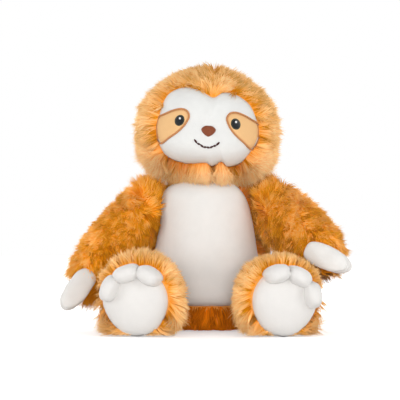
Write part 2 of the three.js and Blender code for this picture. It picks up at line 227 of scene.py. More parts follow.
def bezier(a, b, c, count):
    """Points on a quadratic curve from a past b to c."""
    t = np.linspace(0, 1, count)[:, None]
    a, b, c = (np.array(p, float) for p in (a, b, c))
    return (1 - t) ** 2 * a + 2 * t * (1 - t) * b + t**2 * c


def spaced(points, count, closed=False):
    """Points evenly spaced along the straight pieces between some points."""
    points = np.vstack([points, points[:1]]) if closed else np.array(points, float)
    length = np.concatenate([[0], np.cumsum(np.linalg.norm(np.diff(points, axis=0), axis=1))])
    at = np.linspace(0, length[-1], count, endpoint=not closed)
    return np.stack([np.interp(at, length, points[:, k]) for k in range(2)], axis=1)


def smooth_loop(corners, count):
    """A closed curve through corner points, evenly spaced."""
    corners = np.array(corners, float)
    t = np.linspace(0, 1, 12, endpoint=False)[:, None]
    dense = []
    for i in range(len(corners)):
        p0, p1, p2, p3 = (corners[(i + k - 1) % len(corners)] for k in range(4))
        bend = (2 * p0 - 5 * p1 + 4 * p2 - p3) * t**2
        dense.append(0.5 * (2 * p1 + (p2 - p0) * t + bend + (3 * p1 - p0 - 3 * p2 + p3) * t**3))
    return spaced(np.concatenate(dense), count, closed=True)


def oval(x, z, width, height, count=40, lean=0.0):
    turn = np.linspace(0, 2 * math.pi, count, endpoint=False)
    across, up = np.cos(turn) * width / 2, np.sin(turn) * height / 2
    return np.stack([x + across * math.cos(lean) + up * math.sin(lean),
                     z - across * math.sin(lean) + up * math.cos(lean)], axis=1)


def ramp(values, low, high):
    """0 below low, 1 above high and a smooth step between."""
    t = np.clip((values - low) / (high - low), 0, 1)
    return t * t * (3 - 2 * t)


def mesh_arrays(mesh):
    """Vertex places, vertex normals and triangles of a mesh."""
    mesh.calc_loop_triangles()
    places = np.empty(len(mesh.vertices) * 3)
    normals = np.empty(len(mesh.vertices) * 3)
    triangles = np.empty(len(mesh.loop_triangles) * 3, dtype=np.int64)
    mesh.vertices.foreach_get("co", places)
    mesh.vertex_normals.foreach_get("vector", normals)
    mesh.loop_triangles.foreach_get("vertices", triangles)
    return places.reshape(-1, 3), normals.reshape(-1, 3), triangles.reshape(-1, 3)


def tree_of(mesh):
    places, _, triangles = mesh_arrays(mesh)
    return BVHTree.FromPolygons(places.tolist(), triangles.tolist())


def build_mesh(name, places, faces, smooth=True):
    mesh = bpy.data.meshes.new(name)
    mesh.from_pydata([tuple(p) for p in places], [], [tuple(f) for f in faces])
    mesh.polygons.foreach_set("use_smooth", [smooth] * len(mesh.polygons))
    mesh.update()
    return mesh


def closed_mesh(name, places, faces):
    """A mesh whose faces all look outwards."""
    mesh = build_mesh(name, places, faces)
    shape = bmesh.new()
    shape.from_mesh(mesh)
    bmesh.ops.recalc_face_normals(shape, faces=shape.faces)
    shape.to_mesh(mesh)
    shape.free()
    return mesh


def between_rings(low, high, count):
    """Four-sided faces between two rings of as many points, which start at the points given."""
    return [(low + k, low + (k + 1) % count, high + (k + 1) % count, high + k) for k in range(count)]


def facing(axis, direction):
    """The axis, or its opposite if that points more in a direction."""
    return axis if np.dot(axis, direction) > 0 else -axis


def add_piece(name, mesh, material, body, nodes=()):
    """Puts a finished mesh in the scene, on its body, in place of the CAD nodes it stands for."""
    piece = bpy.data.objects.new(name, mesh)
    bpy.context.scene.collection.objects.link(piece)
    mesh.materials.clear()
    mesh.materials.append(material)
    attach(piece, body)
    if nodes:
        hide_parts(*nodes)
    return piece


def seam_distance(drawn, outline):
    """How far each point of a flat drawing lies from a closed outline."""
    return np.array([np.min(np.linalg.norm(outline - point, axis=1)) for point in drawn])


def evaluated(shape):
    return shape.evaluated_get(bpy.context.evaluated_depsgraph_get())


def stuff(shape, held):
    """Fills a cloth shape with pressure, held where it is sewn, and limits how far a point moves."""
    before, normals, _ = mesh_arrays(shape.data)
    before -= normals * SLACK
    shape.data.vertices.foreach_set("co", before.reshape(-1))
    shape.data.update()
    sewn = shape.vertex_groups.new(name="sewn")
    sewn.add(np.nonzero(held(before))[0].tolist(), 1.0, "REPLACE")
    cloth = shape.modifiers.new("Stuffing", "CLOTH")
    for key, value in CLOTH.items():
        setattr(cloth.settings, key, value)
    cloth.settings.effector_weights.gravity = 0.0
    cloth.point_cache.frame_start = 1
    cloth.point_cache.frame_end = STUFFING_FRAMES
    for step in range(1, STUFFING_FRAMES + 1):
        bpy.context.scene.frame_set(step)
    moved = mesh_arrays(evaluated(shape).to_mesh())[0] - before
    shape.modifiers.remove(cloth)
    bpy.context.scene.frame_set(1)
    share = np.minimum(1.0, STUFFING_MOST / np.maximum(np.linalg.norm(moved, axis=1), 1e-9))
    shape.data.vertices.foreach_set("co", (before + moved * share[:, None]).reshape(-1))
    shape.data.update()


def stuffed_mesh(node, name, held):
    """The soft, rounded shape that a CAD node holds."""
    shape = bpy.data.objects.new(name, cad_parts[node].data.copy())
    bpy.context.scene.collection.objects.link(shape)
    remesh = shape.modifiers.new("Even faces", "REMESH")
    remesh.mode = "VOXEL"
    remesh.voxel_size = FORM_VOXEL
    relax = shape.modifiers.new("Round off", "SMOOTH")
    relax.factor = FORM_ROUNDING
    relax.iterations = FORM_ROUNDS
    even = bpy.data.meshes.new_from_object(evaluated(shape))
    shape.modifiers.clear()
    shape.data = even
    stuff(shape, held)
    shape.modifiers.new("Finer", "SUBSURF").levels = 1
    made = bpy.data.meshes.new_from_object(evaluated(shape))
    bpy.data.objects.remove(shape)
    made.name = name
    made.polygons.foreach_set("use_smooth", [True] * len(made.polygons))
    return made


def scattered(mesh, count, rng, wanted):
    """Random points on a mesh with their normals, thinned by how much each place is wanted."""
    places, normals, triangles = mesh_arrays(mesh)
    a, b, c = (places[triangles[:, k]] for k in range(3))
    area = np.linalg.norm(np.cross(b - a, c - a), axis=1) / 2
    middle = (a + b + c) / 3
    normal = unit(normals[triangles].mean(axis=1))
    weight = area * wanted(middle, normal)
    pick = rng.choice(len(area), size=count, p=weight / weight.sum())
    r1, r2 = np.sqrt(rng.random(count))[:, None], rng.random(count)[:, None]
    mix = (1 - r1, r1 * (1 - r2), r1 * r2)
    corners = triangles[pick]
    points = sum(m * places[corners[:, k]] for k, m in enumerate(mix))
    directions = unit(sum(m * normals[corners[:, k]] for k, m in enumerate(mix)))
    return points, directions


def nearest_tufts(points, rng, strands_per_tuft):
    """For each point, the number of the point that leads its tuft."""
    leaders = rng.choice(len(points), size=max(1, len(points) // strands_per_tuft), replace=False)
    tree = KDTree(len(leaders))
    for i in leaders:
        tree.insert(points[i], int(i))
    tree.balance()
    return np.array([tree.find(p)[1] for p in points])


def pile_mesh(
    name, roots, normals, lay, length, width, tone, rng, rise=0.6, gather=0.5, wander=0.2, tuft=14,
    droop=None, pale=0.0,
):
    """Strands of pile: thin three-sided spikes with a bend, which lean along the lay and gather in tufts."""
    count = len(roots)
    leader = nearest_tufts(roots, rng, tuft)
    stray = rng.normal(size=(count, 3))
    tuft_stray = rng.normal(size=(count, 3))[leader]
    lean = unit(lay + tuft_stray * wander * 1.3)
    rise = np.broadcast_to(rise, count)[:, None]
    base = unit(normals * rise + lean * (1 - rise) + stray * wander * 0.5)
    end = unit(normals * rise * 0.45 + lean * (1 - rise * 0.45) + stray * wander)
    if droop is not None:
        end = unit(end - UP * droop[:, None])
    reach = length * (SHORTEST + LONGER * rng.random(count))
    reach = reach * (SHORTEST_TUFT + LONGER * rng.random(count)[leader])
    middle = roots + base * reach[:, None] * 0.5
    tip = middle + end * reach[:, None] * 0.5
    follow = gather * (0.6 + 0.4 * rng.random(count))[:, None]
    middle += (middle[leader] - middle) * follow * 0.35
    tip += (tip[leader] - tip) * follow
    start = roots - normals * ROOT_DEPTH
    for points, gap in zip((start, middle, tip), FLOOR_GAPS):
        points[:, 2] = np.maximum(points[:, 2], gap)
    along = unit(tip - start)
    side = unit(np.cross(along, normals) + stray * 0.05)
    other = np.cross(along, side)
    turn = rng.random(count) * 2 * math.pi
    places, shading = (np.empty((count, STRAND_POINTS, 3)) for _ in range(2))
    upright = normals.copy()
    upright[:, 2] = np.where(upright[:, 2] < 0, upright[:, 2] * UNDERSIDE_SHADE, upright[:, 2])
    upright = unit(upright) * (0.3 + 0.7 * ramp(upright @ FRONT, -0.1, 0.6))[:, None]
    for k in range(3):
        angle = turn + k * 2 * math.pi / 3
        ring = np.cos(angle)[:, None] * side + np.sin(angle)[:, None] * other
        places[:, k] = start + ring * width * ROOT_RADIUS
        places[:, 3 + k] = middle + ring * width * BEND_RADIUS
        shading[:, k] = shading[:, 3 + k] = unit(upright + ring * STRAND_ROUNDNESS)
    places[:, 6] = tip
    shading[:, 6] = unit(upright + unit(across_normal(FRONT, along)) * STRAND_ROUNDNESS * 0.5)

    # The corners of one strand's faces, and where each lies along the strand and round it
    faces = between_rings(0, 3, 3) + [(3 + k, 3 + (k + 1) % 3, 6) for k in range(3)]
    corners = np.array([corner for face in faces for corner in face])
    first_corners = np.array([0, 4, 8, 12, 15, 18])
    along_strand = np.array((0.03, 0.03, 0.5, 0.5) * 3 + (0.5, 0.5, 0.98) * 3)
    round_strand = np.array([k + v for shape in ((0, 1, 1, 0), (0, 1, 0.5)) for k in range(3) for v in shape])
    starts = np.arange(count)[:, None]
    mesh = bpy.data.meshes.new(name)
    mesh.vertices.add(count * STRAND_POINTS)
    mesh.vertices.foreach_set("co", places.reshape(-1))
    mesh.loops.add(count * STRAND_CORNERS)
    corners = starts * STRAND_POINTS + corners
    mesh.loops.foreach_set("vertex_index", corners.reshape(-1).astype(np.int32))
    mesh.polygons.add(count * STRAND_FACES)
    first_corners = starts * STRAND_CORNERS + first_corners
    mesh.polygons.foreach_set("loop_start", first_corners.reshape(-1).astype(np.int32))
    mesh.polygons.foreach_set("use_smooth", np.ones(count * STRAND_FACES, dtype=bool))
    picture = np.empty((count, STRAND_CORNERS, 2))
    tone = tone + TUFT_TONE * rng.normal(size=count)[leader]
    pale = (pale - DARK_DEPTH * np.clip(0.5 - tone, 0, 0.5))[:, None]
    picture[:, :, 0] = np.maximum(pale, 0) + (1 - np.abs(pale)) * along_strand
    picture[:, :, 1] = np.clip(tone, 0.02, 0.97)[:, None] + round_strand * TONE_STEP
    mesh.uv_layers.new(name="OFBake").data.foreach_set("uv", picture.reshape(-1))
    mesh.update(calc_edges=True)
    mesh.validate()
    mesh.normals_split_custom_set_from_vertices(shading.reshape(-1, 3))
    return mesh


def soft_noise(points, size, seed):
    """Smooth noise between -1 and 1 over places, with features about as big as size."""
    rng = np.random.default_rng(seed)
    total = np.zeros(len(points))
    for _ in range(6):
        wave = unit(rng.normal(size=3)) * (0.7 + 0.8 * rng.random()) * 2 * math.pi / size
        total += np.sin(points @ wave + rng.random() * 2 * math.pi)
    return total / 3.2


def head_matrix():
    return Matrix.Translation(HEAD_MIDDLE) @ Matrix.Rotation(HEAD_LEAN, 4, "Y")


def surface_point(tree, start, direction, near):
    """Where a line meets a surface, or else the point of the surface nearest to near, with the normal."""
    hit, normal, _, _ = tree.ray_cast(start, direction)
    if hit is None:
        hit, normal, _, _ = tree.find_nearest(near)
    return hit, normal


def from_front(place, tree):
    """Carries a drawing in millimetres, seen from the front of place, onto the surface behind it."""
    back = place.to_3x3() @ Vector((0, 1, 0))

    def cast(x, z):
        start, near = (place @ Vector((x * MM, y, z * MM)) for y in (-0.2, -0.03))
        return surface_point(tree, start, back, near)

    return cast


def from_around(tree):
    """Carries a drawing in degrees round the torso and millimetres up onto the torso."""

    def cast(degrees, z):
        turn = math.radians(degrees)
        away = Vector((math.sin(turn), -math.cos(turn), 0))
        near = Vector((0, 0, z * MM))
        return surface_point(tree, away * 0.2 + near, -away, near)

    return cast


def on_surface(points, cast, lift=0.0):
    """Points of a flat drawing, carried onto the surface behind it, with the normals there."""
    hits, normals = (np.array(part) for part in zip(*(cast(x, z) for x, z in points)))
    return hits + normals * lift, normals


def panel_mesh(
    name, outline, cast, height, crown=0.0, rings=22, tuck=0.4, thickness=0.0012, dents=0.0, swell=None,
    shoulder=8,
):
    """A cloth panel that lies on the surface behind it, drawn in at its sewn edge."""
    outline = np.array(outline, float)
    centre = (outline.max(axis=0) + outline.min(axis=0)) / 2
    shares = np.linspace(0, 1, rings + 1)[1:] ** 0.8
    flat = [centre] + [centre + (point - centre) * share for share in shares for point in outline]
    depth = np.array([0.0] + [share for share in shares for _ in outline])
    hits, normals = on_surface(flat, cast)
    lift = height * (1 - depth**shoulder * (1 + tuck)) + crown * (1 - depth**2)
    lift += dents * soft_noise(hits, 0.045, 5) * (1 - depth**4)
    if swell:
        hits = hits + swell(np.array(flat)) * (1 - depth**24)[:, None]
    top = hits + normals * lift[:, None]
    under = hits + normals * (lift - thickness - height * 0.3)[:, None]
    size, count = len(flat), len(outline)
    faces = [(0, 1 + k, 1 + (k + 1) % count) for k in range(count)]
    for start in range(1, 1 + (rings - 1) * count, count):
        faces += [(a, d, c, b) for a, b, c, d in between_rings(start, start + count, count)]
    rim = 1 + (rings - 1) * count
    below = [tuple(size + v for v in reversed(face)) for face in faces]
    sides = [(a, d, c, b) for a, b, c, d in between_rings(rim, size + rim, count)]
    return closed_mesh(name, np.concatenate([top, under]), faces + below + sides)


def add_panel(name, outline, cast, material, body, slot, nodes=(), **form):
    """Makes a cloth panel and puts it on its body."""
    mesh = panel_mesh(name, outline, cast, **form)
    add_piece(name, mesh, material, body, nodes)
    return mesh


def cord_mesh(name, centres, normals, width, height, closed=False, corners=8):
    """A low rounded cord along points, flat side down."""
    centres, normals = np.array(centres, float), unit(np.array(normals, float))
    count = len(centres)
    if closed:
        along = np.roll(centres, -1, axis=0) - np.roll(centres, 1, axis=0)
    else:
        along = np.gradient(centres, axis=0)
    side = unit(np.cross(unit(along), normals))
    places, faces = [], []
    for i in range(count):
        taper = 1.0 if closed else min(1.0, 0.35 + 2.5 * min(i, count - 1 - i) / count)
        for angle in (2 * math.pi * k / corners for k in range(corners)):
            across = side[i] * math.cos(angle) * width / 2 * taper
            places.append(centres[i] + across + normals[i] * math.sin(angle) * height / 2 * taper)
    for i in range(count if closed else count - 1):
        faces += between_rings(i * corners, ((i + 1) % count) * corners, corners)
    if not closed:
        faces.append(tuple(reversed(range(corners))))
        faces.append(tuple(range((count - 1) * corners, count * corners)))
    return closed_mesh(name, places, faces)


def joined(name, meshes):
    """One mesh of several."""
    places, faces, start = [], [], 0
    for mesh in meshes:
        places.append(mesh_arrays(mesh)[0])
        faces += [tuple(start + v for v in face.vertices) for face in mesh.polygons]
        start += len(mesh.vertices)
        bpy.data.meshes.remove(mesh)
    return build_mesh(name, np.concatenate(places), faces)


def main_axes(node):
    """The middle of a CAD node and its long, broad and thin directions with half sizes."""
    places, _, triangles = mesh_arrays(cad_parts[node].data)
    a, b, c = (places[triangles[:, k]] for k in range(3))
    area = np.linalg.norm(np.cross(b - a, c - a), axis=1)[:, None]
    centre = (area * (a + b + c) / 3).sum(axis=0) / area.sum()
    spread = (a + b + c) / 3 - centre
    _, axes = np.linalg.eigh((spread * area).T @ spread)
    axes = axes.T[::-1]
    reach = [(places - centre) @ axis for axis in axes]
    return centre, axes, [(r.min(), r.max()) for r in reach]


def plump_mesh(
    name, root, tip, broad, half_width, half_thickness, blunt=(2.6, 2.6), square=2.3, rings=28, corners=36
):
    """A stuffed digit, such as a claw or toe, with a seam round its edge."""
    root, tip = np.array(root, float), np.array(tip, float)
    along = unit(tip - root)
    broad = unit(broad - along * np.dot(broad, along))
    thin = np.cross(along, broad)
    length = np.linalg.norm(tip - root)
    places = [root]
    for i in range(1, rings):
        height = (1 - math.cos(math.pi * i / rings)) / 2
        power = blunt[0] if height < 0.5 else blunt[1]
        swell = (1 - abs(2 * height - 1) ** power) ** (1 / power)
        centre = root + along * length * height
        for turn in (2 * math.pi * k / corners for k in range(corners)):
            c, s = math.cos(turn), math.sin(turn)
            seam = 1 - 0.07 * math.exp(-((s / 0.16) ** 2))
            across = math.copysign(abs(c) ** (2 / square), c) * half_width * swell * seam
            deep = math.copysign(abs(s) ** (2 / square), s) * half_thickness * swell
            places.append(centre + broad * across + thin * deep)
    places.append(tip)
    faces = [(0, 1 + (k + 1) % corners, 1 + k) for k in range(corners)]
    last = 1 + (rings - 2) * corners
    for start in range(1, last, corners):
        faces += between_rings(start, start + corners, corners)
    faces += [(len(places) - 1, last + k, last + (k + 1) % corners) for k in range(corners)]
    places = np.array(places)
    out = unit(places - (root + np.outer((places - root) @ along, along)))
    places += out * (0.0005 * soft_noise(places, 0.016, len(name)))[:, None]
    return closed_mesh(name, places, faces)


def add_digit(node, name, root, tip, broad, material, body, fill, **form):
    """Makes a stuffed claw or toe and puts it on its limb."""
    piece = add_piece(name, plump_mesh(name, root, tip, broad, **form), material, body, [node])


def feed(tree, node, values):
    """Gives inputs of a node their numbers and colours, or links them to other nodes."""
    for key, value in values.items():
        if isinstance(value, bpy.types.NodeSocket):
            tree.links.new(value, node.inputs[key])
        else:
            node.inputs[key].default_value = value


def add_node(tree, kind, place, settings=None, values=None):
    node = tree.nodes.new(kind)
    node.location = place
    for key, value in (settings or {}).items():
        setattr(node, key, value)
    feed(tree, node, values or {})
    return node


def arithmetic(tree, place, operation, a, b):
    """The result of an operation on two sockets or numbers."""
    return add_node(tree, "ShaderNodeMath", place, {"operation": operation}, {0: a, 1: b}).outputs[0]


def swing(tree, place, value, depth):
    """A value from 0 to 1 as a small change either way, at most half the depth."""
    centred = arithmetic(tree, place, "SUBTRACT", value, 0.5)
    return arithmetic(tree, (place[0] + 170, place[1]), "MULTIPLY", centred, depth)


def node_group(name, inputs, outputs):
    """A new shader node group, the values that it is given, and its output node."""
    group = bpy.data.node_groups.new(name, "ShaderNodeTree")
    for label, value in inputs.items():
        kind = "NodeSocketColor" if isinstance(value, tuple) else "NodeSocketFloat"
        group.interface.new_socket(label, in_out="INPUT", socket_type=kind).default_value = value
    for label in outputs:
        kind = "NodeSocketColor" if label == "Colour" else "NodeSocketFloat"
        group.interface.new_socket(label, in_out="OUTPUT", socket_type=kind)
    return group, group.nodes.new("NodeGroupInput").outputs, group.nodes.new("NodeGroupOutput")


def pile_group(name):
    """Colour of a strand from root to tip, with each strand a little lighter or darker."""
    inputs = {"Root": (0.3, 0.1, 0.02, 1), "Middle": (0.7, 0.3, 0.06, 1), "Tip": (0.9, 0.5, 0.2, 1)}
    group, given, shown = node_group(name, {**inputs, "Tone spread": 0.35}, ["Colour"])
    strand = add_node(group, "ShaderNodeUVMap", (-900, 0), {"uv_map": "OFBake"})
    split = add_node(group, "ShaderNodeSeparateXYZ", (-700, 0), values={0: strand.outputs["UV"]})
    colour = given["Root"]
    for k, (towards, low, high) in enumerate((("Middle", 0.0, 0.55), ("Tip", 0.45, 1.0))):
        limits = {"Value": split.outputs["X"], "From Min": low, "From Max": high}
        share = add_node(group, "ShaderNodeMapRange", (-500, 200 - 260 * k), values=limits)
        values = {"Factor": share.outputs[0], 6: colour, 7: given[towards]}
        mix = add_node(group, "ShaderNodeMix", (-280 + 200 * k, 200), {"data_type": "RGBA"}, values)
        colour = mix.outputs[2]
    spread = swing(group, (-500, -320), split.outputs["Y"], given["Tone spread"])
    limits = {"Value": spread, "From Min": -0.35, "From Max": 0.35, "To Min": 1.16, "To Max": 0.97}
    deepen = add_node(group, "ShaderNodeMapRange", (-140, -520), values=limits)
    values = {"Value": arithmetic(group, (-140, -320), "ADD", spread, 1.0), "Saturation": deepen.outputs[0]}
    shade = add_node(group, "ShaderNodeHueSaturation", (120, 0), values={**values, "Color": colour})
    feed(group, shown, {"Colour": shade.outputs[0]})
    return group


def plush_group(name):
    """Short plush: faint clouds in its colour, and a fine soft nap."""
    inputs = {"Colour": (0.8, 0.8, 0.8, 1), "Cloud size": 60.0, "Cloud depth": 0.05, "Nap size": 900.0}
    group, given, shown = node_group(name, inputs, ["Colour", "Height"])
    place = add_node(group, "ShaderNodeTexCoord", (-900, 0)).outputs["Object"]
    values = {"Vector": place, "Scale": given["Cloud size"], "Detail": 4.0, "Roughness": 0.6}
    clouds = add_node(group, "ShaderNodeTexNoise", (-650, 200), values=values)
    values = {"Vector": place, "Scale": given["Nap size"], "Detail": 3.0, "Roughness": 0.7}
    nap = add_node(group, "ShaderNodeTexNoise", (-650, -150), values=values)
    change = swing(group, (-430, 200), clouds.outputs["Fac"], given["Cloud depth"])
    values = {"Value": arithmetic(group, (-90, 200), "ADD", change, 1.0), "Color": given["Colour"]}
    shade = add_node(group, "ShaderNodeHueSaturation", (120, 100), values=values)
    feed(group, shown, {"Colour": shade.outputs[0], "Height": nap.outputs["Fac"]})
    return group


def stitch_group(name):
    """Satin stitch: fine threads side by side, each a little lighter or darker."""
    inputs = {"Colour": (0.2, 0.1, 0.1, 1), "Threads per metre": 1800.0, "Turn": 0.0}
    group, given, shown = node_group(name, inputs, ["Colour", "Height"])
    place = add_node(group, "ShaderNodeTexCoord", (-1000, 0)).outputs["Object"]
    values = {"Vector": place, "Angle": given["Turn"]}
    turn = add_node(group, "ShaderNodeVectorRotate", (-800, 0), {"rotation_type": "Y_AXIS"}, values)
    values = {
        "Vector": turn.outputs[0], "Scale": given["Threads per metre"], "Distortion": 0.6, "Detail": 1.0,
    }
    threads = add_node(group, "ShaderNodeTexWave", (-560, 0), {"bands_direction": "X"}, values)
    values = {"Vector": place, "Scale": 700.0, "Detail": 2.0}
    speckle = add_node(group, "ShaderNodeTexNoise", (-560, 300), values=values)
    values = {"Value": speckle.outputs["Fac"], "To Min": 0.75, "To Max": 1.25}
    level = add_node(group, "ShaderNodeMapRange", (-320, 300), values=values)
    values = {"Value": level.outputs[0], "Color": given["Colour"]}
    shade = add_node(group, "ShaderNodeHueSaturation", (-80, 200), values=values)
    feed(group, shown, {"Colour": shade.outputs[0], "Height": threads.outputs["Fac"]})
    return group


PATTERNS = {"Pile colour": pile_group, "Short plush": plush_group, "Satin stitch": stitch_group}


def cloth_material(name, pattern, values, roughness, sheen=0.0, bump=0.0, shine=0.2, sheen_tint=(1, 1, 1, 1)):
    """A cloth or thread whose colour and height come from a shared node group."""
    if name in bpy.data.materials:
        return bpy.data.materials[name]
    material = bpy.data.materials.new(name)
    material.use_nodes = True
    tree = material.node_tree
    shared = bpy.data.node_groups.get(pattern) or PATTERNS[pattern](pattern)
    look = add_node(tree, "ShaderNodeGroup", (-500, 0), {"node_tree": shared}, values)
    surface = {
        "Base Color": look.outputs["Colour"], "Roughness": roughness, "Specular IOR Level": shine,
        "Sheen Weight": sheen, "Sheen Roughness": 0.5, "Sheen Tint": sheen_tint,
    }
    if bump:
        ridges = {"Strength": bump, "Distance": 0.0004, "Height": look.outputs["Height"]}
        surface["Normal"] = add_node(tree, "ShaderNodeBump", (-250, -200), values=ridges).outputs["Normal"]
    feed(tree, tree.nodes["Principled BSDF"], surface)
    return material


def pile_material(name, settings, middle, tip, spread, shade=1.0):
    """Long pile, from the colour of its roots past a middle one to its tips."""
    colours = {"Root": settings.root_colour, "Middle": middle, "Tip": tip}
    values = {key: (*(part * shade for part in colour[:3]), 1.0) for key, colour in colours.items()}
    values["Tone spread"] = spread
    return cloth_material(name, "Pile colour", values, 0.8, 0.65, shine=0.1, sheen_tint=(1.0, 0.62, 0.3, 1))


def light_pile(name, settings):
    """The light pile of the head and legs."""
    return pile_material(name, settings, settings.middle_colour, settings.tip_colour, 0.8)


def deep_pile(name, settings, shade):
    """The deeper pile of the body and arms."""
    return pile_material(name, settings, settings.limb_colour, settings.limb_tip_colour, 0.9, shade)


def plush_material(name, colour, size=70.0, depth=0.1, nap=1400.0, roughness=0.95, sheen=0.35, bump=0.6):
    """Short plush or felt, with the size and depth of its clouds and how fine its nap is."""
    values = {"Colour": tuple(colour), "Cloud size": size, "Cloud depth": depth, "Nap size": nap}
    return cloth_material(name, "Short plush", values, roughness, sheen, bump)


def thread_material(name, colour, turn=0.0, roughness=0.5):
    values = {"Colour": tuple(colour), "Threads per metre": 900.0, "Turn": turn}
    return cloth_material(name, "Satin stitch", values, roughness, bump=0.6)


def local_points(points, place):
    inverse = np.array(place.inverted())
    return points @ inverse[:3, :3].T + inverse[:3, 3]


def head_local(points):
    """Places on the head in millimetres: across, forward to back and up, from its middle."""
    return local_points(points, head_matrix()) / MM


def torso_local(points):
    """Places on the torso as degrees round it and millimetres up."""
    return np.stack([np.degrees(np.arctan2(points[:, 0], -points[:, 1])), points[:, 2] / MM], axis=1)


def sewn_head(points):
    local = head_local(points)
    return (seam_distance(local[:, [0, 2]], face_outline()) < SEWN_WIDTH) & (local[:, 1] < 0)


def sewn_torso(points):
    return seam_distance(torso_local(points), belly_outline()) < SEWN_WIDTH


def sewn_leg(side):
    def held(points):
        local = local_points(points, sole_place(side)) / MM
        return (seam_distance(local[:, [0, 2]], sole_outline(side)) < SEWN_WIDTH) & (local[:, 1] < 18)

    return held


def sewn_arm(points):
    """The root of an arm, where it is sewn to the shoulder."""
    return np.abs(points[:, 0]) < np.abs(points[:, 0]).min() + SEWN_WIDTH * MM


def form_of(name):
    return bpy.data.objects[f"{name}_form"].data


class SLOTH_OT_stuffed_forms(bpy.types.Operator):
    """Make the stuffed forms that the pile grows on"""

    bl_idname = "object.sloth_stuffed_forms"
    bl_label = "Stuffed Forms"

    def execute(self, context):
        colour = (*(part * 0.9 for part in context.scene.sloth_pile.middle_colour[:3]), 1.0)
        backing = plush_material("Pile backing cloth", colour, size=200.0, depth=0.4, nap=1800.0, sheen=0.0,
                                 bump=0.5)
        forms = [("torso", "torso_filling", sewn_torso), ("head", "head_filling", sewn_head)]
        for side in SIDES:
            forms.append((f"arm_{side}", f"arm_filling_{side}", sewn_arm))
            forms.append((f"leg_{side}", f"leg_filling_{side}", sewn_leg(side)))
        for body, node, held in forms:
            mesh = stuffed_mesh(node, f"{body}_form", held)
            piece = add_piece(f"{body}_form", mesh, backing, body, [node])
        return {"FINISHED"}


def belly_outline():
    """The belly panel, in degrees round the torso and millimetres up."""
    low, top, wide, narrow = BELLY_BOTTOM, BELLY_TOP, BELLY_REACH, BELLY_TOP_REACH
    left = [(wide * 0.4, low + 1), (wide * 0.76, low + 10), (wide * 0.86, low + 30), (wide * 0.84, low + 55),
            (wide * 0.86, low + 85), (narrow * 0.88, top - 26), (narrow * 0.8, top - 12),
            (narrow * 0.73, top - 4), (narrow * 0.62, top)]
    right = [(wide * 0.4, low + 1), (wide * 0.8, low + 10), (wide * 0.97, low + 30), (wide, low + 55),
             (wide * 0.98, low + 85), (narrow + 4, top - 22), (narrow + 2, top - 10), (narrow, top - 2),
             (narrow * 0.85, top)]
    return smooth_loop([(0, low)] + left + [(0, top)] + [(-x, z) for x, z in reversed(right)], 128)


class SLOTH_OT_belly(bpy.types.Operator):
    """Make the white belly panel"""

    bl_idname = "object.sloth_belly"
    bl_label = "Belly Panel"

    def execute(self, context):
        cast = from_around(tree_of(form_of("torso")))

        def lap(drawn):
            """The belly stands forwards low down, over the base, and sideways at its right upper corner."""
            front = ramp(90 - np.abs(drawn[:, :1]), 10, 60)
            corner = ramp(drawn[:, 1:], 110, 145) * ramp(-drawn[:, :1], 20, 75)
            forwards = FRONT * 0.010 * ramp(78 - drawn[:, 1:], 0, 45) * front
            return forwards - SIDEWAYS * 0.005 * corner

        plush = plush_material("Belly plush", context.scene.sloth_plush.belly_colour)
        add_panel("belly", belly_outline(), cast, plush, "torso", "white_plush", ["belly_panel"],
                  height=0.0068, crown=0.001, rings=34, tuck=0.15, dents=0.0008, swell=lap, shoulder=14)
        return {"FINISHED"}


def face_outline():
    """The face from the front, in millimetres from the middle of the head."""
    return smooth_loop(FACE_EDGE, 140)


def patch_outline(sign):
    return smooth_loop([(sign * x, z) for x, z in PATCH_EDGE], 80)


def nose_outline():
    left = [(-x, z) for x, z in reversed(NOSE_EDGE)]
    return smooth_loop([(NOSE_X + x, NOSE_Z + z) for x, z in [(0, 5.8), *NOSE_EDGE, *left]], 48)


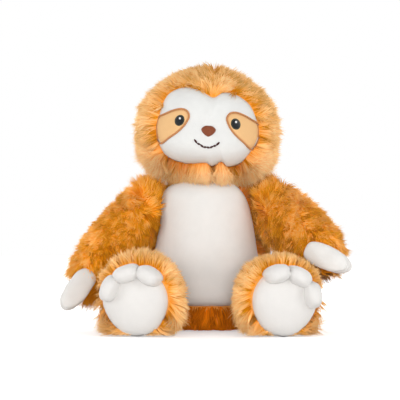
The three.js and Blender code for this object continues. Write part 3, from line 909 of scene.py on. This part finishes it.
class SLOTH_OT_face(bpy.types.Operator):
    """Make the white face with its eye patches, eyes, nose and mouth"""

    bl_idname = "object.sloth_face"
    bl_label = "Face"

    def execute(self, context):
        colours = context.scene.sloth_plush
        place = head_matrix()
        on_head = from_front(place, tree_of(form_of("head")))

        def chin(drawn):
            """The lower face stands forwards, over the fringe."""
            return FRONT * 0.012 * ramp(-drawn[:, 1:], 2, 42)

        plush = plush_material("Face plush", colours.face_colour, size=130.0, depth=0.09, nap=1100.0,
                               sheen=0.3)
        face = add_panel("face", face_outline(), on_head, plush, "head", "white_plush", ["face_panel"],
                         height=0.0042, crown=0.0035, rings=26, tuck=0.15, dents=0.0004, swell=chin)
        on_face = from_front(place, tree_of(face))
        self.make_eyes(colours, place, on_face)
        brown = thread_material("Nose thread", colours.nose_colour, roughness=0.45)
        add_panel("nose_stitching", nose_outline(), on_face, brown, "head", "nose_thread", ["nose"],
                  height=0.002, crown=0.0014, rings=12)
        smile = bezier(MOUTH_ENDS[0], MOUTH_MIDDLE, MOUTH_ENDS[1], MOUTH_STITCHES * STITCH_STEPS + 1)
        dark = thread_material("Mouth thread", colours.mouth_colour, turn=1.2)
        stitches = []
        for stitch in range(MOUTH_STITCHES):
            tilt = STITCH_TILT if stitch % 2 else -STITCH_TILT
            points = smile[stitch * STITCH_STEPS :][: STITCH_STEPS + 1]
            points = points + np.linspace(-tilt, tilt, STITCH_STEPS + 1)[:, None] * np.array([0, 1])
            stitches.append(cord_mesh("stitch", *on_surface(points, on_face, 0.0006), *MOUTH_CORD))
        mouth = joined("mouth_stitching", stitches)
        add_piece("mouth_stitching", mouth, dark, "head", ["mouth"])
        return {"FINISHED"}

    def make_eyes(self, colours, place, on_face):
        """Two patches of felt, each with a stitched edge and a stitched eye"""
        felt = plush_material("Eye patch felt", colours.patch_colour, size=300.0, depth=0.06, nap=2200.0,
                              roughness=0.85, sheen=0.0, bump=0.3)
        rim = thread_material("Outline thread", colours.outline_colour, turn=0.6)
        black = thread_material("Eye thread", colours.eye_colour, turn=0.3, roughness=0.35)
        green = thread_material("Eye rim thread", colours.eye_rim_colour, turn=0.9, roughness=0.4)
        shine = thread_material("Eye highlight thread", colours.highlight_colour, turn=0.2)
        for side, sign in SIDES.items():
            outline = patch_outline(sign)
            patch = add_panel(f"eye_patch_{side}", outline, on_face, felt, "head", "patch_felt",
                              [f"eye_patch_{side}"], height=0.001, crown=0.0006, rings=14)
            name = f"eye_patch_edge_{side}"
            edge = cord_mesh(name, *on_surface(outline, on_face, 0.0008), *EDGE_CORD, closed=True)
            add_piece(name, edge, rim, "head")
            on_patch = from_front(place, tree_of(patch))
            x, lean = sign * EYE_X, -sign * EYE_TILT
            add_panel(f"eye_rim_{side}", oval(x, EYE_Z, 10.6, 12.6, 48, lean), on_patch, green, "head",
                      "eye_thread", height=0.0009, rings=8)
            eye = add_panel(f"eye_{side}_stitching", oval(x, EYE_Z, 8.8, 10.8, 48, lean), on_patch, black,
                            "head", "eye_thread", [f"eye_{side}"], height=0.0016, crown=0.0007, rings=10)
            glint = oval(x + 0.2, EYE_Z + 2.0, 2.4, 2.6, 20)
            add_panel(f"eye_highlight_{side}", glint, from_front(place, tree_of(eye)), shine, "head",
                      "eye_thread", height=0.0005, rings=5)


def sole_place(side):
    """The middle of a sole, with its +Y into the foot."""
    outward = facing(main_axes(f"sole_{side}")[1][2], FRONT)
    forward = Vector((outward[0], outward[1], 0)).normalized()
    across = Vector((-forward.y, forward.x, 0))
    turn = Matrix((across, -forward, (0, 0, 1))).transposed().to_4x4()
    low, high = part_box(f"sole_{side}")
    return Matrix.Translation((Vector(low) + Vector(high)) / 2) @ turn


def sole_outline(side):
    """The sole from the front of the foot, in millimetres from its middle."""
    low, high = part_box(f"sole_{side}")
    height = (high[2] - low[2]) / MM
    return oval(SIDES[side] * 2.5, -1, height * 1.06, height * 1.04, 96)


class SLOTH_OT_feet(bpy.types.Operator):
    """Make the white soles and toes"""

    bl_idname = "object.sloth_feet"
    bl_label = "Soles and Toes"

    def execute(self, context):
        plush = plush_material("Sole plush", context.scene.sloth_plush.sole_colour)

        def sag(drawn):
            """The lower half of a sole hangs a little."""
            return -UP * 0.005 * ramp(-drawn[:, 1:], 8, 32)

        for side in SIDES:
            place = sole_place(side)
            on_leg = from_front(place, tree_of(form_of(f"leg_{side}")))
            add_panel(f"sole_panel_{side}", sole_outline(side), on_leg, plush, f"leg_{side}", "white_plush",
                      [f"sole_{side}"], height=0.0045, crown=0.005, dents=0.0006, swell=sag)
            forward = np.array(place.to_3x3() @ Vector((0, -1, 0)))
            middle = np.array(place.translation)
            for toe in DIGITS:
                node = f"toe_{side}_{toe}"
                places = mesh_arrays(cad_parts[node].data)[0]
                away = across_normal(places.mean(axis=0) - middle, forward)
                tip = middle + away + forward * ((places - middle) @ forward).max()
                broad = np.cross(forward, unit(away))
                add_digit(node, f"toe_plush_{side}_{toe}", tip - forward * TOE_LENGTH, tip, broad, plush,
                          f"leg_{side}", TOE_FILL, half_width=TOE_HALF_WIDTH,
                          half_thickness=TOE_HALF_THICKNESS)
        return {"FINISHED"}


class SLOTH_OT_claws(bpy.types.Operator):
    """Make the white claws of the hands"""

    bl_idname = "object.sloth_claws"
    bl_label = "Claws"

    def execute(self, context):
        plush = plush_material("Claw plush", context.scene.sloth_plush.belly_colour)
        for side in SIDES:
            shoulder = np.array([0.0, 0.0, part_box(f"arm_cover_{side}")[1][2]])
            centre, axes, _ = main_axes(f"claw_{side}_1")
            long = facing(axes[0], centre - shoulder)
            for claw in DIGITS:
                node = f"claw_{side}_{claw}"
                places = mesh_arrays(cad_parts[node].data)[0]
                tip = places[np.argmax(places @ long)]
                root = tip - long * CLAW_LENGTH - FRONT * CLAW_BACK
                add_digit(node, f"claw_plush_{side}_{claw}", root, tip + long * CLAW_PAST, axes[1], plush,
                          f"arm_{side}", CLAW_FILL, half_width=CLAW_HALF_WIDTH,
                          half_thickness=CLAW_HALF_THICKNESS, blunt=(3.2, 2.0))
        return {"FINISHED"}


def in_outline(points, outline):
    """Which points of a flat drawing lie inside a closed outline."""
    inside = np.zeros(len(points), dtype=bool)
    x, y = points[:, 0], points[:, 1]
    for (x1, y1), (x2, y2) in zip(outline, np.roll(outline, -1, axis=0)):
        crosses = (y1 > y) != (y2 > y)
        with np.errstate(divide="ignore", invalid="ignore"):
            at = (x2 - x1) * (y - y1) / (y2 - y1) + x1
        inside ^= crosses & (x < at)
    return inside


def inside_pieces(points, names):
    """Which points lie inside any of these closed pieces."""
    hidden = np.zeros(len(points), dtype=bool)
    for mesh in (bpy.data.objects[name].data for name in names):
        places = mesh_arrays(mesh)[0]
        low, high = places.min(axis=0), places.max(axis=0)
        tree = tree_of(mesh)
        for i in np.nonzero(np.all((points > low) & (points < high), axis=1) & ~hidden)[0]:
            point = Vector(points[i])
            hit, normal, _, _ = tree.find_nearest(point)
            hidden[i] = (point - hit).dot(normal) < 0
    return hidden


def grow(
    name, form, count, seed, wanted, lay, material, nodes, length, clear_of=(), droop=None, pale=None,
    rise=None, shade=None, **style
):
    """Grows the pile of one form and puts it on the form's body."""
    rng = np.random.default_rng(seed)
    roots, normals = scattered(form_of(form), count, rng, wanted)
    if clear_of:
        free = ~inside_pieces(roots + normals * 0.002, clear_of)
        roots, normals = roots[free], normals[free]
    directions = unit(across_normal(lay(roots), normals) + 1e-6)
    lengths = length(roots, normals)
    tone = 0.5 + PATCH_TONE * soft_noise(roots, PATCH_SIZE, seed) + STRAND_TONE * rng.normal(size=len(roots))
    tone += SPOT_TONE * soft_noise(roots, SPOT_SIZE, seed + 1)
    # A pile's shade adds painted shade and painted light at some places, besides tone that differs at random
    if shade:
        tone += shade(roots)
    for key, given in {"droop": droop, "pale": pale, "rise": rise}.items():
        if given is not None:
            style[key] = given(roots) if callable(given) else given
    width = bpy.context.scene.sloth_pile.strand_width
    mesh = pile_mesh(name, roots, normals, directions, lengths, width, tone, rng, **style)
    return add_piece(name, mesh, material, form, nodes)


def more_in_front(normals, back_share=0.5):
    return back_share + (1 - back_share) * np.clip(0.6 - normals[:, 1], 0, 1)


def chin_share(x, y, z):
    """1 where the fringe hangs under the chin, and 0 elsewhere on the head."""
    return ramp(-z, 22 + np.abs(x) * 0.1, 44) * ramp(25 - y, 0, 20)


def dimple(x, z):
    """1 under the white point of the chin, where the pile has to reach forwards."""
    return np.exp(-(((x - 7) / 4.5) ** 2) - ((z + 53) / 5) ** 2)


def near_face(points, reach=16):
    """1 beside the edge of the face, and 0 beyond its reach in millimetres."""
    local = head_local(points)
    away = seam_distance(local[:, [0, 2]], face_outline())
    return ramp(reach - away, 0, reach * 0.9) * (local[:, 1] < 0)


class SLOTH_OT_head_pile(bpy.types.Operator):
    """Grow the pile of the head"""

    bl_idname = "object.sloth_head_pile"
    bl_label = "Head Pile"

    def execute(self, context):
        settings = context.scene.sloth_pile
        bare = face_outline() * 0.985
        material = light_pile("Head pile", settings)

        def lay(points):
            """Away from the face and the parting, in places over the face, and down behind and below."""
            x, y, z = head_local(points).T
            parting = np.sign(x - PARTING_X) * 0.45 * np.exp(-np.abs(x - PARTING_X) / 14) * (z > 0)
            away = unit(np.stack([x - PARTING_X * (z > 0), np.zeros_like(x), z + 10], axis=1))
            away[:, 0] += parting + 0.5 * ramp(x, PARTING_X, 25) * ramp(z, 10, 35)
            away[:, 1] += 0.2
            behind = ramp(y, -5, 35)[:, None]
            fringe = chin_share(x, y, z)[:, None]
            tufts = ramp(soft_noise(points, 0.007, 71), 0.5, 0.9)
            over = near_face(points, 5) * tufts * ramp(z, -2, 15)
            away *= (1 - 1.6 * over)[:, None]
            hanging = FRONT * 0.9 - UP + np.outer(np.sign(x) * (np.abs(x) / 42) ** 2, SIDEWAYS)
            away = away * (1 - fringe) + hanging * fringe
            return away * (1 - behind) - UP * (0.1 + behind)

        def length(points, normals):
            """Longer under the chin, at the jaw and in the tuft at the parting, shorter on top."""
            x, y, z = head_local(points).T
            tuft = np.exp(-(((x - PARTING_X) / 4) ** 2) - ((y / 14) ** 2)) * (z > 40)
            jaw = ramp(-z, 5, 30) * ramp(np.abs(x), 20, 50)
            top = ramp(z, 15, 40)
            more = 0.4 * chin_share(x, y, z) + 0.2 * jaw + 0.15 * tuft - 0.14 * top
            return settings.head_length * (1 + more)

        def droop(points):
            x, y, z = head_local(points).T
            return 0.1 + 0.6 * chin_share(x, y, z) - 0.5 * dimple(x, z)

        def pale(points):
            """Near the face the strands are pale from the root."""
            return 0.08 + 0.27 * near_face(points)

        def rise(points):
            """Near the face the strands lie flatter, and under the chin they stand out."""
            fringe = chin_share(*head_local(points).T)
            return 0.58 - 0.18 * near_face(points) * (1 - fringe) + 0.14 * fringe

        def shade(points):
            """Painted shade, darker along the fold, at the parting and in the whorl beside it, where shadow
            lies between the strands, and painted light, lighter under the chin, where the fringe hangs in
            shade.
            """
            x, y, z = head_local(points).T
            fold = seam_distance(np.stack([x, z], axis=1), spaced(FOLD, 40))
            crease = ramp(z, 20, 30) * (1 - ramp(z, 42, 52))
            parting = np.exp(-(((x - PARTING_X) / 3.5) ** 2)) * crease
            whorl = np.exp(-(((x + 9) / 9) ** 2) - ((z - 38) / 6) ** 2)
            # dark is painted shade in the fold, the parting and the whorl; the chin's share below is painted
            # light on the fringe
            dark = 0.35 * ramp(6 - fold, 0, 5) + 0.25 * parting + 0.28 * whorl
            return 0.06 + 0.3 * chin_share(x, y, z) - dark * (y < 0)

        parts = {
            "head_pile_crown": lambda local: (local[:, 1] < 5) & (local[:, 2] > -2),
            "head_pile_cheeks": lambda local: (local[:, 1] < 5) & (local[:, 2] <= -2),
            "head_pile_back": lambda local: local[:, 1] >= 5,
        }
        for seed, (name, part) in enumerate(parts.items(), 11):

            def wanted(points, normals):
                """Denser under the chin, and none on the face."""
                local = head_local(points)
                bald = in_outline(local[:, [0, 2]], bare) & (local[:, 1] < 0)
                denser = 1 + 0.8 * chin_share(*local.T) + 2 * dimple(local[:, 0], local[:, 2])
                return part(local) * ~bald * denser

            nodes = ["head_cover"] if name == "head_pile_crown" else ()
            grow(name, "head", settings.head_count // 3, seed, wanted, lay, material, nodes, length,
                 droop=droop, pale=pale, rise=rise, shade=shade, gather=0.44, tuft=11)
        return {"FINISHED"}


class SLOTH_OT_body_pile(bpy.types.Operator):
    """Grow the pile of the torso"""

    bl_idname = "object.sloth_body_pile"
    bl_label = "Body Pile"

    def execute(self, context):
        settings = context.scene.sloth_pile
        bare = belly_outline()

        def wanted(points, normals):
            """None under the belly panel, and denser at the shoulders."""
            corner = ramp(points[:, 2], 0.12, 0.145) * ramp(np.abs(points[:, 0]), 0.02, 0.035)
            return (1 + 2 * corner) * ~in_outline(torso_local(points), bare)

        def base(points):
            """The strip of pile between the belly and the floor."""
            return ramp(0.036 - points[:, 2], 0, 0.006) * (points[:, 1] < 0)

        def shoulder(points):
            return ramp(points[:, 2], 0.13, 0.15) * ramp(np.abs(points[:, 0]), 0.015, 0.035)

        def flank(points):
            height = ramp(points[:, 2], 0.035, 0.06) * ramp(0.13 - points[:, 2], 0, 0.03)
            return ramp(np.abs(points[:, 0]), 0.03, 0.045) * height

        def lay(points):
            hanging = -UP + points * np.array([8, 3, 0])
            raised = UP + np.outer(np.sign(points[:, 0]) * 0.5, SIDEWAYS)
            return hanging + (raised - hanging) * shoulder(points)[:, None]

        def rise(points):
            return 0.6 + 0.2 * flank(points) + 0.1 * shoulder(points)

        # The base strip shows the deep colours of its roots: painted shade where it lies in the shadow under
        # the belly
        def pale(points):
            return -0.8 * base(points)

        # The base strip is darker: painted shade under the belly
        def shade(points):
            return -0.16 * base(points)

        def length(points, normals):
            more = 0.6 * shoulder(points) + 0.8 * flank(points) + 0.35 * base(points)
            return settings.limb_length * (1 + more)

        grow("body_pile", "torso", settings.limb_count, 21, wanted, lay,
             deep_pile("Body pile", settings, 0.92), ["torso_cover"], length, rise=rise, pale=pale,
             shade=shade)
        return {"FINISHED"}


class SLOTH_OT_arm_pile(bpy.types.Operator):
    """Grow the pile of the arms"""

    bl_idname = "object.sloth_arm_pile"
    bl_label = "Arm Pile"

    def execute(self, context):
        settings = context.scene.sloth_pile
        material = deep_pile("Arm pile", settings, 0.97)
        for side, sign in SIDES.items():
            centre, axes, reach = main_axes(f"arm_filling_{side}")
            along = facing(axes[0], -UP)
            half = (reach[0][1] - reach[0][0]) / 2
            claws = [f"claw_plush_{side}_{claw}" for claw in DIGITS]

            def hand(points):
                return ramp((points - centre) @ along / half, 0.5, 0.9)

            def shoulder(points):
                inner = ramp(0.095 - points[:, 0] * sign, 0, 0.035)
                return inner * ramp(points[:, 2], 0.11, 0.15)

            def under(normals):
                """The underside, where the pile hangs down to the leg."""
                return ramp(-normals[:, 2], 0.35, 0.8)

            def wanted(points, normals):
                """Thinner where the arm lies on the torso."""
                hidden = (normals[:, 0] * sign < -0.8) & (points[:, 0] * sign < 0.066)
                return more_in_front(normals) * np.where(hidden, 0.2, 1.0)

            def lay(points):
                swirl = np.stack([soft_noise(points, 0.04, 31 + k) for k in range(3)], axis=1)
                root = shoulder(points)[:, None]
                calm = 1 - 0.6 * hand(points)[:, None]
                return (along - UP * 0.3) * (1 - root) + UP * root * 0.7 + swirl * 0.6 * calm

            outside = unit(across_normal(SIDEWAYS * sign + UP * 0.3, along))

            def shade(points):
                """Painted shade, deeper towards the belly, and painted light, paler along the outside of the
                arm, with tone that differs at random.
                """
                # outer is painted light and shade across the arm, from its lit outside to its shaded side by
                # the belly
                outer = np.clip(7 * (points - centre) @ outside - 0.03, -0.28, 0.08)
                return outer + 0.14 * soft_noise(points, 0.017, 35)

            def length(points, normals):
                more = 0.45 * hand(points) + 0.6 * shoulder(points) + 0.8 * under(normals)
                return settings.limb_length * (1 + more)

            grow(f"arm_pile_{side}", f"arm_{side}", settings.limb_count, 31 + sign, wanted, lay, material,
                 [f"arm_cover_{side}"], length, clear_of=claws, rise=0.58, wander=0.24, shade=shade)
        return {"FINISHED"}


class SLOTH_OT_leg_pile(bpy.types.Operator):
    """Grow the pile of the legs"""

    bl_idname = "object.sloth_leg_pile"
    bl_label = "Leg Pile"

    def execute(self, context):
        settings = context.scene.sloth_pile
        material = light_pile("Leg pile", settings)
        for side, sign in SIDES.items():
            place = sole_place(side)
            bare = sole_outline(side)
            toes = [f"toe_plush_{side}_{toe}" for toe in DIGITS]

            def wanted(points, normals):
                """None under the sole."""
                local = local_points(points, place) / MM
                bald = in_outline(local[:, [0, 2]], bare) & (local[:, 1] < 18) & (normals[:, 2] > -0.8)
                return more_in_front(normals, 0.6) * ~bald

            def low(local):
                """The lower sides of the foot, where the pile spreads on the floor."""
                return ramp(-local[:, 2], -0.01, 0.014) * ramp(0.05 - local[:, 1], 0, 0.03)

            def lay(points):
                local = local_points(points, place)
                away = unit(np.stack([local[:, 0], local[:, 1] * 0.5 + 0.008, local[:, 2]], axis=1))
                spread = np.outer(np.sign(local[:, 0]) * 0.85, SIDEWAYS) - UP
                away += (spread - away) * low(local)[:, None]
                return away @ np.array(place.to_3x3()).T - UP * 0.05

            def length(points, normals):
                local = local_points(points, place)
                outer = ramp(local[:, 0] * sign, 0, 0.03) * ramp(0.016 - local[:, 2], 0, 0.02)
                beside = ramp(np.abs(local[:, 0]), 0.005, 0.02)
                top = ramp(local[:, 2], 0.02, 0.04) * LEG_TOP_MORE[side]
                return settings.limb_length * (1 + 0.7 * low(local) * beside + 0.35 * outer + top)

            def pale(points):
                """Beside the sole the strands are pale from the root."""
                local = local_points(points, place) / MM
                away = seam_distance(local[:, [0, 2]], bare)
                return 0.3 * ramp(16 - away, 0, 14) * (local[:, 1] < 22)

            grow(f"leg_pile_{side}", f"leg_{side}", settings.limb_count, 41 + sign, wanted, lay, material,
                 [f"leg_cover_{side}"], length, clear_of=toes, gather=0.42, tuft=9, pale=pale)
        return {"FINISHED"}


def seen_directly(tree):
    """1 where the camera or a reflection looks, and 0 for the light that falls on the toy."""
    path = add_node(tree, "ShaderNodeLightPath", (-900, 300)).outputs
    seen = arithmetic(tree, (-700, 300), "MAXIMUM", path["Is Camera Ray"], path["Is Glossy Ray"])
    return arithmetic(tree, (-520, 300), "MAXIMUM", seen, path["Is Transmission Ray"])


def floor_material():
    """A pale floor that shows the toy's shadow near it and looks plain white further off."""
    material = bpy.data.materials.new("Pale floor")
    material.use_nodes = True
    tree = material.node_tree
    place = add_node(tree, "ShaderNodeTexCoord", (-1200, -100)).outputs["Object"]
    far = add_node(tree, "ShaderNodeVectorMath", (-1000, -100), {"operation": "LENGTH"}, {0: place})
    limits = {"Value": far.outputs["Value"], "From Min": FLOOR_FADE[0], "From Max": FLOOR_FADE[1]}
    fade = add_node(tree, "ShaderNodeMapRange", (-800, -100), {"interpolation_type": "SMOOTHSTEP"}, limits)
    limits = {"Value": fade.outputs[0], "To Min": 0.5, "To Max": 1.0}
    glow = add_node(tree, "ShaderNodeMapRange", (-500, 100), values=limits)
    level = arithmetic(tree, (-250, 200), "MULTIPLY", seen_directly(tree), glow.outputs[0])
    surface = {
        "Base Color": (FLOOR_WHITE, FLOOR_WHITE, FLOOR_WHITE, 1), "Roughness": 0.9, "Specular IOR Level": 0.0,
        "Emission Color": (1, 1, 1, 1), "Emission Strength": level,
    }
    feed(tree, tree.nodes["Principled BSDF"], surface)
    return material


class SLOTH_OT_stage(bpy.types.Operator):
    """Make the floor, the lights and the camera"""

    bl_idname = "object.sloth_stage"
    bl_label = "Stage"

    def execute(self, context):
        scene, settings = context.scene, context.scene.sloth_stage
        turn = np.linspace(0, 2 * math.pi, FLOOR_CORNERS, endpoint=False)
        rim = [(math.cos(a) * settings.floor_radius, math.sin(a) * settings.floor_radius, 0.0) for a in turn]
        floor = build_mesh("floor", rim, [tuple(range(FLOOR_CORNERS))], smooth=False)
        floor = bpy.data.objects.new("floor", floor)
        scene.collection.objects.link(floor)
        floor.data.materials.append(floor_material())

        world = bpy.data.worlds.new("Studio")
        world.use_nodes = True
        tree = world.node_tree
        backdrop = arithmetic(tree, (-250, 200), "MULTIPLY", seen_directly(tree), 1.0 - settings.sky)
        level = arithmetic(tree, (0, 200), "ADD", backdrop, settings.sky)
        feed(tree, tree.nodes["Background"], {"Color": (1, 1, 1, 1), "Strength": level})
        scene.world = world

        for name, (place, aim_height, size, power, share) in LIGHTS.items():
            data = bpy.data.lights.new(name, "AREA")
            data.shape, data.size = "DISK", size
            data.energy = getattr(settings, power) * share
            lamp = bpy.data.objects.new(name, data)
            lamp.location = place
            aim = Vector((0, 0, aim_height)) - Vector(place)
            lamp.rotation_euler = aim.to_track_quat("-Z", "Y").to_euler()
            scene.collection.objects.link(lamp)

        data = bpy.data.cameras.new("camera")
        data.sensor_width = SENSOR_MM
        data.lens = FOCUS_PIXELS / PICTURE * SENSOR_MM
        camera = bpy.data.objects.new("camera", data)
        scene.collection.objects.link(camera)
        camera.location = (0, -CAMERA_DISTANCE, CAMERA_HEIGHT)
        pitch = math.atan((HORIZON_ROW - PICTURE / 2) / FOCUS_PIXELS)
        yaw = math.atan((TOY_COLUMN - PICTURE / 2) / FOCUS_PIXELS)
        camera.rotation_euler = (math.pi / 2 + pitch, 0, yaw)
        scene.camera = camera
        scene.view_settings.view_transform = "Standard"
        return {"FINISHED"}


STEPS = (
    SLOTH_OT_stuffed_forms,
    SLOTH_OT_belly,
    SLOTH_OT_face,
    SLOTH_OT_feet,
    SLOTH_OT_claws,
    SLOTH_OT_head_pile,
    SLOTH_OT_body_pile,
    SLOTH_OT_arm_pile,
    SLOTH_OT_leg_pile,
    SLOTH_OT_stage,
)


class SLOTH_PT_panel(bpy.types.Panel):
    """The toy's settings and the steps that make it"""

    bl_label = "Plush Sloth"
    bl_idname = "SLOTH_PT_panel"
    bl_space_type = "VIEW_3D"
    bl_region_type = "UI"
    bl_category = "Plush Sloth"

    def draw(self, context):
        layout = self.layout
        for group in (context.scene.sloth_pile, context.scene.sloth_plush, context.scene.sloth_stage):
            box = layout.box()
            for key in group.bl_rna.properties.keys():
                if key not in {"rna_type", "name"}:
                    box.prop(group, key)
        for step in STEPS:
            layout.operator(step.bl_idname)


CLASSES = (SlothPileSettings, SlothPlushSettings, SlothStageSettings, *STEPS, SLOTH_PT_panel)


def register():
    for kind in CLASSES:
        bpy.utils.register_class(kind)
    bpy.types.Scene.sloth_pile = bpy.props.PointerProperty(type=SlothPileSettings)
    bpy.types.Scene.sloth_plush = bpy.props.PointerProperty(type=SlothPlushSettings)
    bpy.types.Scene.sloth_stage = bpy.props.PointerProperty(type=SlothStageSettings)


def unregister():
    del bpy.types.Scene.sloth_pile, bpy.types.Scene.sloth_plush, bpy.types.Scene.sloth_stage
    for kind in reversed(CLASSES):
        bpy.utils.unregister_class(kind)


def main():
    register()
    for step in STEPS:
        group, name = step.bl_idname.split(".")
        getattr(getattr(bpy.ops, group), name)()


if __name__ == "__main__":
    main()
